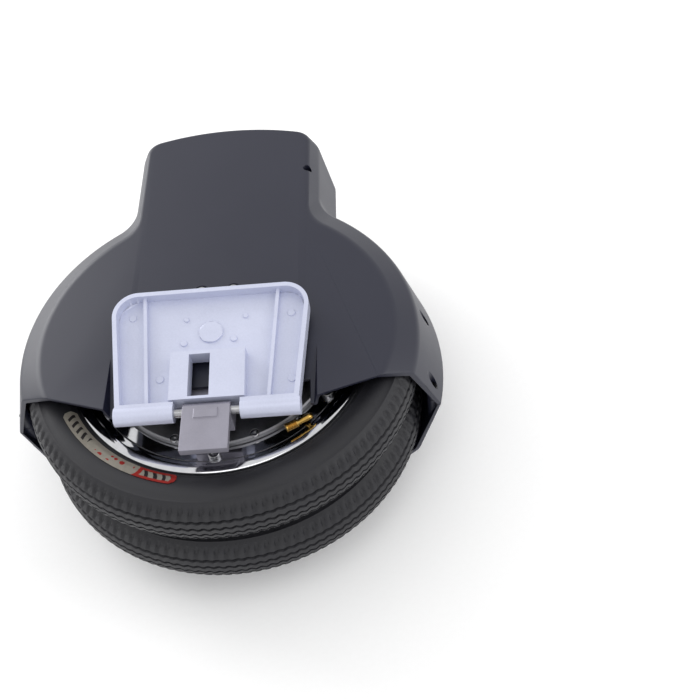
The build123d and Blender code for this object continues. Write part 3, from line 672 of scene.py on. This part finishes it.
def open_controls(shell):
    """Pad and seat of the charging cap, and the holes for button, socket and lights."""
    seat_y = top_height(SOCKET_X) - 1.8
    pad = loose(block_of(SOCKET_X - 16, SOCKET_X + 16, seat_y - 4, 280, 30.5, 62))
    carve(pad, loose(housing_solid(1.0, SEAM_Z, 3.0)), "INTERSECT")
    carve(shell, pad, "UNION")
    round_holes = bmesh.new()
    add_prism(round_holes, circle(BUTTON_X, CONTROLS_Z, 8.35, 56), 250, 300, "Y")
    add_prism(round_holes, circle(SOCKET_X, CONTROLS_Z, 9.0, 56), 250, 300, "Y")
    for x in LIGHTS_X:
        add_prism(round_holes, circle(x, CONTROLS_Z, 2.5, 24), 250, 300, "Y")
    carve(shell, loose(round_holes))
    seat = bmesh.new()
    add_prism(seat, circle(SOCKET_X, CONTROLS_Z, 11.6, 56), seat_y, 300, "Y")
    carve(shell, loose(seat))
    carve(shell, loose(block_of(SOCKET_X - 8, SOCKET_X + 8, seat_y, 300, 33, CONTROLS_Z)))


print("the top is", round(top_height(SOCKET_X), 1), "mm above the axle at the socket")

# %% [markdown]
# Both covers come off one set of patterns. The upper one also has holes for the button, the
# charging socket and the four small lights; the lower one is the same half turned over, without the
# sunken heads of the side screws.

# %% Mould the covers
def cover(heads_here, with_controls):
    """One cover in drawing millimetres, drawn as the upper one."""
    shell = loose(housing_solid(0, SEAM_Z, 4.0))
    carve(shell, loose(pocket(0)))
    hollow = loose(housing_solid(WALL, -3, 1.5))
    carve(hollow, loose(pocket(WALL)))
    carve(shell, hollow)
    posts = loose(screw_bosses())
    carve(posts, loose(housing_solid(WALL / 2, SEAM_Z, 2.0)), "INTERSECT")
    carve(shell, posts, "UNION")
    carve(shell, loose(lower_edge()))
    carve(shell, loose(block_of(*HANDLE_OPENING)))
    for holes in screw_holes(heads_here):
        carve(shell, loose(holes))
    if with_controls:
        open_controls(shell)
    bm = taken_back(shell)
    bmesh.ops.remove_doubles(bm, verts=bm.verts, dist=0.01)
    break_edges(bm, 0.6)
    return bm


for name, turned_over in (("upper_cover", False), ("lower_cover", True)):
    half = cover(not turned_over, not turned_over)
    if turned_over:
        turn_over(half, "Y")
    half.transform(TO_FRAME)
    open_edges = sum(not e.is_manifold for e in half.edges)
    print(name, len(half.faces), "faces,", open_edges, "open edges")
    finished(name + "_moulding", half, housing_abs, "chassis", name)

# %% [markdown]
# ## Tyres
#
# The tread is a road pattern: four wavy grooves run round it, and small hooked cuts break the
# shoulders at the same pitch. One section of the tyre is listed from bead to bead, and stepped
# round the wheel. Points in a groove drop, and the whole middle of the tread sways from side to
# side with the pitch, which turns straight grooves into wavy ones.

# %% The tyre's section
TYRE_PLANE = 33.0
TREAD_R = 178.0
CROWN_R = 39.75
GROOVES = (-12.0, -4.0, 4.0, 12.0)
PITCHES = 124
STEPS = 6


def crown(z):
    """Radius of the rounded tread at a distance from the tyre's middle plane."""
    return TREAD_R - CROWN_R + math.sqrt(CROWN_R ** 2 - z ** 2)


side = [(172.0, 21.0), (170.6, 22.6), (168.6, 24.2), (166.0, 25.7), (165.2, 26.7), (164.2, 26.9),
        (163.4, 26.6), (160.5, 27.4), (157.5, 27.9), (154.0, 27.9), (150.5, 27.2), (147.0, 26.0),
        (143.5, 24.6), (141.6, 24.2), (140.6, 23.9), (139.8, 22.6), (138.0, 21.4), (136.2, 20.2),
        (134.8, 17.3), (127.8, 17.3), (127.8, 12.5), (139.0, 19.5), (155.0, 23.0), (165.0, 20.5),
        (168.0, 18.0)]
tread = []
for g in GROOVES:
    tread += [(g - 2.6, 0), (g - 1.5, 0), (g - 0.9, 2.6), (g + 0.9, 2.6), (g + 1.5, 0),
              (g + 2.6, 0)]
tread += [(16.6, 0), (18.0, 0), (19.6, 0)]
tread = [(-19.6, 0), (-18.0, 0), (-16.6, 0)] + tread
section = [(crown(z), z, deep) for z, deep in tread]
section += [(r, z, 0.0) for r, z in side]
section += [(173.0, 0.0, 0.0)]
section += [(r, -z, 0.0) for r, z in reversed(side)]
print(len(section), "points in the tyre's section")


# %% [markdown]
# A real tyre is pressed in a mould with the pattern cut into it. Here the section is repeated at
# 744 small steps, six to a pitch, and each step decides which of its points drop into a hook.

# %% Mould the tyres
def tyre_mesh(plane_z):
    """One whole tyre, with its middle plane at a height above the wheel's centre."""
    bm = bmesh.new()
    rings = []
    for step in range(PITCHES * STEPS):
        angle = 2 * math.pi * step / (PITCHES * STEPS)
        phase = step % STEPS
        sway = 1.1 * math.sin(2 * math.pi * phase / STEPS)
        ring = []
        for r, z, deep in section:
            shoulder = 15.5 < abs(z) < 22.8 and r > 169
            hook = shoulder and (phase in (1, 2) or (phase == 3 and abs(z) > 19))
            down = deep + (1.8 if hook else 0.0)
            hold = max(0.0, 1 - (abs(z) / 17.5) ** 4) if r > 173.5 else 0.0
            ring.append(bm.verts.new(((r - down) * math.cos(angle), (r - down) * math.sin(angle),
                                      plane_z + z + sway * hold)))
        rings.append(ring)
    for here, there in zip(rings, rings[1:] + rings[:1]):
        for j in range(len(section)):
            k = (j + 1) % len(section)
            bm.faces.new((here[j], there[j], there[k], here[k]))
    bm.transform(TO_FRAME)
    return bm


for name, plane in (("upper_tyre", TYRE_PLANE), ("lower_tyre", -TYRE_PLANE)):
    tyre = finished(name + "_tread", tyre_mesh(plane), tyre_rubber, "wheel", name,
                    sharp=38)
    print(name, len(tyre.data.polygons), "faces")

# %% [markdown]
# ## The printed label
#
# A foil label is stuck on the upper sidewall, next to the rim. It is its own thin skin, laid along
# the tyre's section a fraction of a millimetre above the rubber, with rounded ends.

# %% The label's skin
LABEL_FROM = 207.0
LABEL_TO = 259.0
LABEL_LIFT = 0.3
LABEL_THICKNESS = 0.2
LABEL_PATH = ((137.6, 21.6), (139.8, 23.0), (141.8, 24.7), (143.7, 25.0), (147.0, 26.35),
              (149.6, 27.3))


def foil_label():
    """Grid along the angle and across the section; its UV map runs 0 to 1 both ways."""
    bm = bmesh.new()
    uv = bm.loops.layers.uv.new("label")
    along, across = 96, len(LABEL_PATH)
    middle_r = sum(r for r, z in LABEL_PATH) / across
    half = (LABEL_PATH[-1][0] - LABEL_PATH[0][0]) / 2
    rows = []
    for j, (r, z) in enumerate(LABEL_PATH):
        off = min(1.0, abs(r - middle_r) / (half + 0.5))
        shorten = math.degrees((1 - math.sqrt(1 - off * off)) * half / middle_r)
        row = []
        for i in range(along + 1):
            t = i / along
            angle = math.radians(LABEL_FROM + shorten
                                 + (LABEL_TO - LABEL_FROM - 2 * shorten) * t)
            v = bm.verts.new((r * math.cos(angle), r * math.sin(angle),
                              TYRE_PLANE + z + LABEL_LIFT))
            row.append((v, t, (r - LABEL_PATH[0][0]) / (2 * half)))
        rows.append(row)
    for low, high in zip(rows, rows[1:]):
        for i in range(along):
            corners = (low[i], low[i + 1], high[i + 1], high[i])
            face = bm.faces.new([c[0] for c in corners])
            for loop, corner in zip(face.loops, corners):
                loop[uv].uv = (corner[1], corner[2])
    bmesh.ops.solidify(bm, geom=bm.faces[:], thickness=LABEL_THICKNESS)
    bm.transform(TO_FRAME)
    return bm


print("label spans", LABEL_TO - LABEL_FROM, "degrees of the sidewall")

# %% [markdown]
# The label carries no words: dark ticks at one end, a row of small red blocks, and a hatched panel
# with a red border. A printer lays these down as separate inks. Here each ink is a mask over the
# label's own coordinates, 1 where it prints and 0 elsewhere, and masks are combined by arithmetic.

# %% Masks for the printed inks
label_ink, tree, where = blank("printed_foil")
spot = add(tree, "ShaderNodeSeparateXYZ", {"Vector": (where, "UV")})
stretched = add(tree, "ShaderNodeMapping", {"Vector": (where, "UV"), "Scale": (9.0, 1.0, 1.0)})
slanted = add(tree, "ShaderNodeMapping",
              {"Vector": (stretched, "Vector"), "Rotation": (0, 0, math.radians(24))})
ticks = add(tree, "ShaderNodeTexWave", {"Vector": (slanted, "Vector"), "Scale": 0.62,
                                        "Distortion": 1.2, "Detail": 1.0})
blocks = add(tree, "ShaderNodeTexVoronoi", {"Vector": (stretched, "Vector"), "Scale": 2.1,
                                            "Randomness": 0.85})


def within(axis, low, high):
    """1 where a label coordinate lies between two limits, else 0."""
    over = add(tree, "ShaderNodeMath", {0: (spot, axis), 1: low}, operation="GREATER_THAN")
    under = add(tree, "ShaderNodeMath", {0: (spot, axis), 1: high}, operation="LESS_THAN")
    return add(tree, "ShaderNodeMath", {0: (over, "Value"), 1: (under, "Value")},
               operation="MULTIPLY")


inside_v = within("Y", 0.22, 0.78)
panel_zone = within("X", 0.73, 1.01)
dark_stripe = add(tree, "ShaderNodeMath", {0: (ticks, "Fac"), 1: 0.62}, operation="GREATER_THAN")
red_dot = add(tree, "ShaderNodeMath", {0: (blocks, "Distance"), 1: 0.36}, operation="LESS_THAN")
tick_zone = add(tree, "ShaderNodeMath",
                {0: (within("X", 0.03, 0.30), "Value"), 1: (inside_v, "Value")},
                operation="MULTIPLY")
block_zone = add(tree, "ShaderNodeMath",
                 {0: (within("X", 0.36, 0.70), "Value"), 1: (inside_v, "Value")},
                 operation="MULTIPLY")
hatch_zone = add(tree, "ShaderNodeMath",
                 {0: (within("X", 0.76, 0.965), "Value"), 1: (inside_v, "Value")},
                 operation="MULTIPLY")
tick_ink = add(tree, "ShaderNodeMath", {0: (tick_zone, "Value"), 1: (dark_stripe, "Value")},
               operation="MULTIPLY")
block_ink = add(tree, "ShaderNodeMath", {0: (block_zone, "Value"), 1: (red_dot, "Value")},
                operation="MULTIPLY")
hatch_ink = add(tree, "ShaderNodeMath", {0: (hatch_zone, "Value"), 1: (dark_stripe, "Value")},
                operation="MULTIPLY")
red_frame = add(tree, "ShaderNodeMath", {0: (panel_zone, "Value"), 1: (hatch_zone, "Value")},
                operation="SUBTRACT")
red_any = add(tree, "ShaderNodeMath", {0: (red_frame, "Value"), 1: (block_ink, "Value")},
              operation="MAXIMUM")
dark_any = add(tree, "ShaderNodeMath", {0: (tick_ink, "Value"), 1: (hatch_ink, "Value")},
               operation="MAXIMUM")
print(len(tree.nodes), "nodes make the two masks")

# %% [markdown]
# Under the inks is metallised foil: a warm pale grey, a little cloudy where it has wrinkled over
# the curved rubber. The inks only change its colour, so its sheen runs on through them.

# %% Print the label and stick it on
# Pale foil that catches more light than the rubber round it, with red and near black print.
foil_grain = add(tree, "ShaderNodeTexNoise", {"Vector": (where, "Object"), "Scale": per_mm(4),
                                              "Detail": 4.0})
# A Mix node has one set of sockets for each data type: 6 and 7 are its two colours, and
# output 2 is the mixed colour.
foil = add(tree, "ShaderNodeMix", {0: (foil_grain, "Fac"), 6: colour("a9a49b"),
                                   7: colour("cdc6b8")}, data_type="RGBA")
with_red = add(tree, "ShaderNodeMix", {0: (red_any, "Value"), 6: (foil, 2),
                                       7: colour("c23a33")}, data_type="RGBA")
with_dark = add(tree, "ShaderNodeMix", {0: (dark_any, "Value"), 6: (with_red, 2),
                                        7: colour("3a3436")}, data_type="RGBA")
wrinkle = add(tree, "ShaderNodeBump", {"Height": (foil_grain, "Fac"), "Strength": 0.4,
                                       "Distance": 0.05 * MM})
close(tree, add(tree, "ShaderNodeBsdfPrincipled",
                {"Base Color": (with_dark, 2), "Normal": (wrinkle, "Normal"),
                 "Roughness": 0.35, "Metallic": 0.25}))
label = finished("sidewall_label", foil_label(), label_ink, "wheel")
print("label", len(label.data.polygons), "faces")

# %% [markdown]
# ## Rims
#
# A pressed steel rim, chromed. Its lip is a broad, nearly flat band that curls over into the tyre;
# inside it a step leads down to a second band and to the web that bolts to the motor. The bright
# bands are so nearly flat that they mirror the sky, while the step between them mirrors the dark
# underside of the cover, and that is the black line between two white ones.

# %% The rim's section
VALVE_FOOT = (76.3, -80.2)
BOLT_CIRCLE = 111
BOLTS = 6
RIM_STEPS = 240
RIM_SECTION = (
    (133.3, 17.6), (127.5, 17.6), (126.8, 10.0), (119.5, 8.0), (119.5, -8.0), (126.8, -10.0),
    (127.5, -17.6), (133.5, -17.6), (133.5, -20.0), (125.0, -20.0), (124.3, -12.3),
    (117.4, -10.3), (117.4, 7.0), (104.6, 7.0), (104.6, 11.0), (115.8, 11.0), (116.8, 11.3),
    (117.6, 12.2), (118.2, 12.5), (120.4, 12.6), (122.6, 12.8), (123.6, 13.2), (124.2, 14.2),
    (124.6, 17.4), (124.9, 18.7), (125.6, 19.6), (127.0, 20.1), (129.0, 20.4), (131.2, 20.5),
    (132.6, 20.3), (133.5, 19.8), (133.9, 19.0), (133.8, 18.2),
)
print(len(RIM_SECTION), "points in the rim's section")

# %% [markdown]
# A rim is rolled to its section, and then the bolt holes and the valve's slot are punched. The
# section is spun about the axle in the same way, and the holes are cut by booleans.

# %% Chromed rims
def rim_mesh(turned_over):
    """One whole rim with its holes, drawn as the upper one."""
    bm = bmesh.new()
    first = [bm.verts.new((r, 0, TYRE_PLANE + z)) for r, z in RIM_SECTION]
    loop = [bm.edges.new((a, b)) for a, b in zip(first, first[1:] + first[:1])]
    bmesh.ops.spin(bm, geom=first + loop, cent=(0, 0, 0), axis=(0, 0, 1),
                   angle=2 * math.pi, steps=RIM_STEPS, use_merge=True)
    bmesh.ops.remove_doubles(bm, verts=bm.verts, dist=0.001)
    body = loose(bm)
    holes = bmesh.new()
    for i in range(BOLTS):
        angle = math.radians(30 + 60 * i)
        add_prism(holes, circle(BOLT_CIRCLE * math.cos(angle), BOLT_CIRCLE * math.sin(angle),
                                3.1, 24), 38, 46)
    carve(body, loose(holes))
    slot = bmesh.new()
    add_prism(slot, circle(*VALVE_FOOT, 6.2, 36), 34, 60)
    carve(body, loose(slot))
    bm = taken_back(body)
    if turned_over:
        turn_over(bm, "X")
    bm.transform(TO_FRAME)
    return bm


for name, turned_over in (("upper_rim", False), ("lower_rim", True)):
    rim = finished(name + "_pressing", rim_mesh(turned_over), chrome, "wheel",
                   name, sharp=32)
    print(name, len(rim.data.polygons), "faces")

# %% [markdown]
# ## Small parts with broken edges
#
# Hangers, the handle's well, pins, nuts, bolts and the motor's castings already have their true
# shape in the mechanical model, but its edges are knife sharp, and only a rounded edge catches a
# highlight. Each is copied, its flat triangles are melted together, and its edges are bevelled by
# what its process leaves: a moulding 0.6 mm, a plate or pin 0.5 mm, a nut 0.4 mm, and turned parts
# and bolts 0.3 mm.

# %% Copies with broken edges
def cad_copy(node):
    """A bmesh of one of the frame's nodes, with its doubled corners merged."""
    bm = bmesh.new()
    bm.from_mesh(nodes[node].data)
    bmesh.ops.remove_doubles(bm, verts=bm.verts, dist=2e-6)
    return bm


EDGES = {
    "upper_hanger": 0.5, "lower_hanger": 0.5, "handle_well": 0.6, "upper_hinge_pin": 0.5,
    "lower_hinge_pin": 0.5, "axle_nuts": 0.4, "rim_bolts": 0.3,
    "upper_motor_cover": 0.3, "lower_motor_cover": 0.3, "motor_drum": 0.3,
}
body_of = {node: body for body, members in frame["record"]["behaviour"]["bodies"].items()
           for node in members}
for node, width in EDGES.items():
    bm = cad_copy(node)
    break_edges(bm, width * MM, sharper_than=30)
    copy = finished(node + "_softened", bm, FINISH[SLOT[node]], body_of[node], node)
    print(node, len(copy.data.polygons), "faces")

# %% [markdown]
# **The pedals** get the marks that die casting leaves beside the sprue disc: round ejector marks
# where the pins pushed the casting out, and small studs. They are drawn in the pedal's own frame,
# which is hinged and tilted by eight degrees, and then fused to the tray. The tray's own edges stay
# as the mechanical model has them.

# %% Pedals with casting marks
HINGE = Vector((0, -91, 81))
TILT = math.radians(8)
# Place, radius and height of each mark on the tray's floor.
MARKS = (
    (-42.6, 34.6, 3.6, -2.3), (70.2, 27.2, 3.6, -2.3), (-70.0, 98.0, 3.6, -2.3),
    (70.0, 92.0, 3.6, -2.3), (-22.0, 92.0, 2.2, -1.6), (30.0, 92.0, 2.2, -1.6),
    (-23.5, 68.4, 3.0, -1.9), (20.0, 70.0, 3.0, -1.9),
)
MARK_ROOT = -4.2


def pedal_frame(turned_over):
    """From the pedal's own millimetres to the frame's metres."""
    local = Matrix.Translation(HINGE) @ Matrix.Rotation(TILT, 4, "X")
    flip = Matrix.Rotation(math.pi, 4, "Y") if turned_over else Matrix.Identity(4)
    return TO_FRAME @ flip @ local


def stepped_disc(bm, x, y, radius, low, high, chamfer=0.35, steps=40):
    """A low round boss whose top edge is chamfered, drawn as three rings."""
    rings = [[bm.verts.new((px, py, z)) for px, py in circle(x, y, r, steps)]
             for r, z in ((radius, low), (radius, high - chamfer), (radius - chamfer, high))]
    bm.faces.new(rings[0])
    bm.faces.new(rings[2])
    for a, b in zip(rings, rings[1:]):
        for i in range(steps):
            j = (i + 1) % steps
            bm.faces.new((a[i], a[j], b[j], b[i]))


def casting_marks():
    """All the marks of one pedal, rooted below the tray's floor."""
    bm = bmesh.new()
    for x, u, radius, high in MARKS:
        stepped_disc(bm, x, u, radius, MARK_ROOT, high)
    return bm


for node, turned_over in (("upper_pedal", False), ("lower_pedal", True)):
    bm = cad_copy(node)
    bm.transform(pedal_frame(turned_over).inverted())
    # The flats are melted and cut again before the union, and below every edge over 12 degrees
    # stays sharp. Together the two keep creases out of the tray's shading.
    bmesh.ops.dissolve_limit(bm, angle_limit=math.radians(0.2), verts=bm.verts, edges=bm.edges)
    bmesh.ops.triangulate(bm, faces=bm.faces, quad_method="BEAUTY", ngon_method="BEAUTY")
    tray = loose(bm)
    carve(tray, loose(casting_marks()), "UNION")
    bm = taken_back(tray)
    bm.transform(pedal_frame(turned_over))
    casting = finished(node + "_casting", bm, cast_silver, node, node, sharp=12)
    print(node, len(casting.data.polygons), "faces")

# %% [markdown]
# **The valve** is a bent brass tube whose tip is threaded for the cap. A thread is a wire on the
# drawing and a groove on the part; here the tip is turned as a stack of fine V grooves, one each
# 0.9 mm, a little coarser than the 0.79 mm of the usual valve thread.

# %% Bent brass valves
VALVE_BEND = (84.0, -86.5)
VALVE_TIP = (62.0, -97.6)
VALVE_Z = 57.8
VALVE_SIDES = 28
TIP_LENGTH = 11.0
HALF_PITCH = 0.45


def valve_mesh(turned_over):
    """The stem as a round tube along a rounded path, then the threaded tip."""
    run = Vector((VALVE_TIP[0] - VALVE_BEND[0], VALVE_TIP[1] - VALVE_BEND[1], 0)).normalized()
    foot_in = Vector((*VALVE_FOOT, 0)) * (120.5 / math.hypot(*VALVE_FOOT))
    tip = Vector((*VALVE_TIP, VALVE_Z))
    corners = [foot_in + Vector((0, 0, 33)), Vector((*VALVE_FOOT, 33)), Vector((*VALVE_FOOT, 47)),
               Vector((*VALVE_BEND, VALVE_Z)), tip - run * TIP_LENGTH]
    path = [corners[0]]
    for before, corner, after, reach in zip(corners, corners[1:], corners[2:], (3.4, 3.2, 4.2)):
        path += softened_corner(before, corner, after, reach)
    path.append(corners[-1])
    radii = [2.6] * len(path)
    along = 0.0
    while along < TIP_LENGTH:
        thread = 3.4 if 1.2 < along < 9.5 and round(along / HALF_PITCH) % 2 else 3.8
        path.append(tip - run * (TIP_LENGTH - along))
        radii.append(thread)
        along += HALF_PITCH
    path += [tip, tip]
    radii += [3.3, 1.2]
    bm = bmesh.new()
    rings = []
    count = len(path)
    side = Vector((0, 0, 1)).cross(path[1] - path[0]).normalized()
    for i, (p, r) in enumerate(zip(path, radii)):
        ahead = (path[min(i + 1, count - 1)] - path[max(i - 1, 0)])
        ahead = ahead.normalized() if ahead.length > 1e-6 else run
        side = (side - ahead * side.dot(ahead)).normalized()
        other = ahead.cross(side)
        rings.append([bm.verts.new(p + (side * math.cos(a) + other * math.sin(a)) * r)
                      for a in (2 * math.pi * k / VALVE_SIDES for k in range(VALVE_SIDES))])
    for a, b in zip(rings, rings[1:]):
        for k in range(VALVE_SIDES):
            m = (k + 1) % VALVE_SIDES
            bm.faces.new((a[k], a[m], b[m], b[k]))
    bm.faces.new(rings[0])
    bm.faces.new(rings[-1])
    if turned_over:
        turn_over(bm, "X")
    bm.transform(TO_FRAME)
    return bm


for node, turned_over in (("upper_valve", False), ("lower_valve", True)):
    stem = finished(node + "_threaded", valve_mesh(turned_over), brass, "wheel", node,
                    sharp=45)
    print(node, len(stem.data.polygons), "faces")
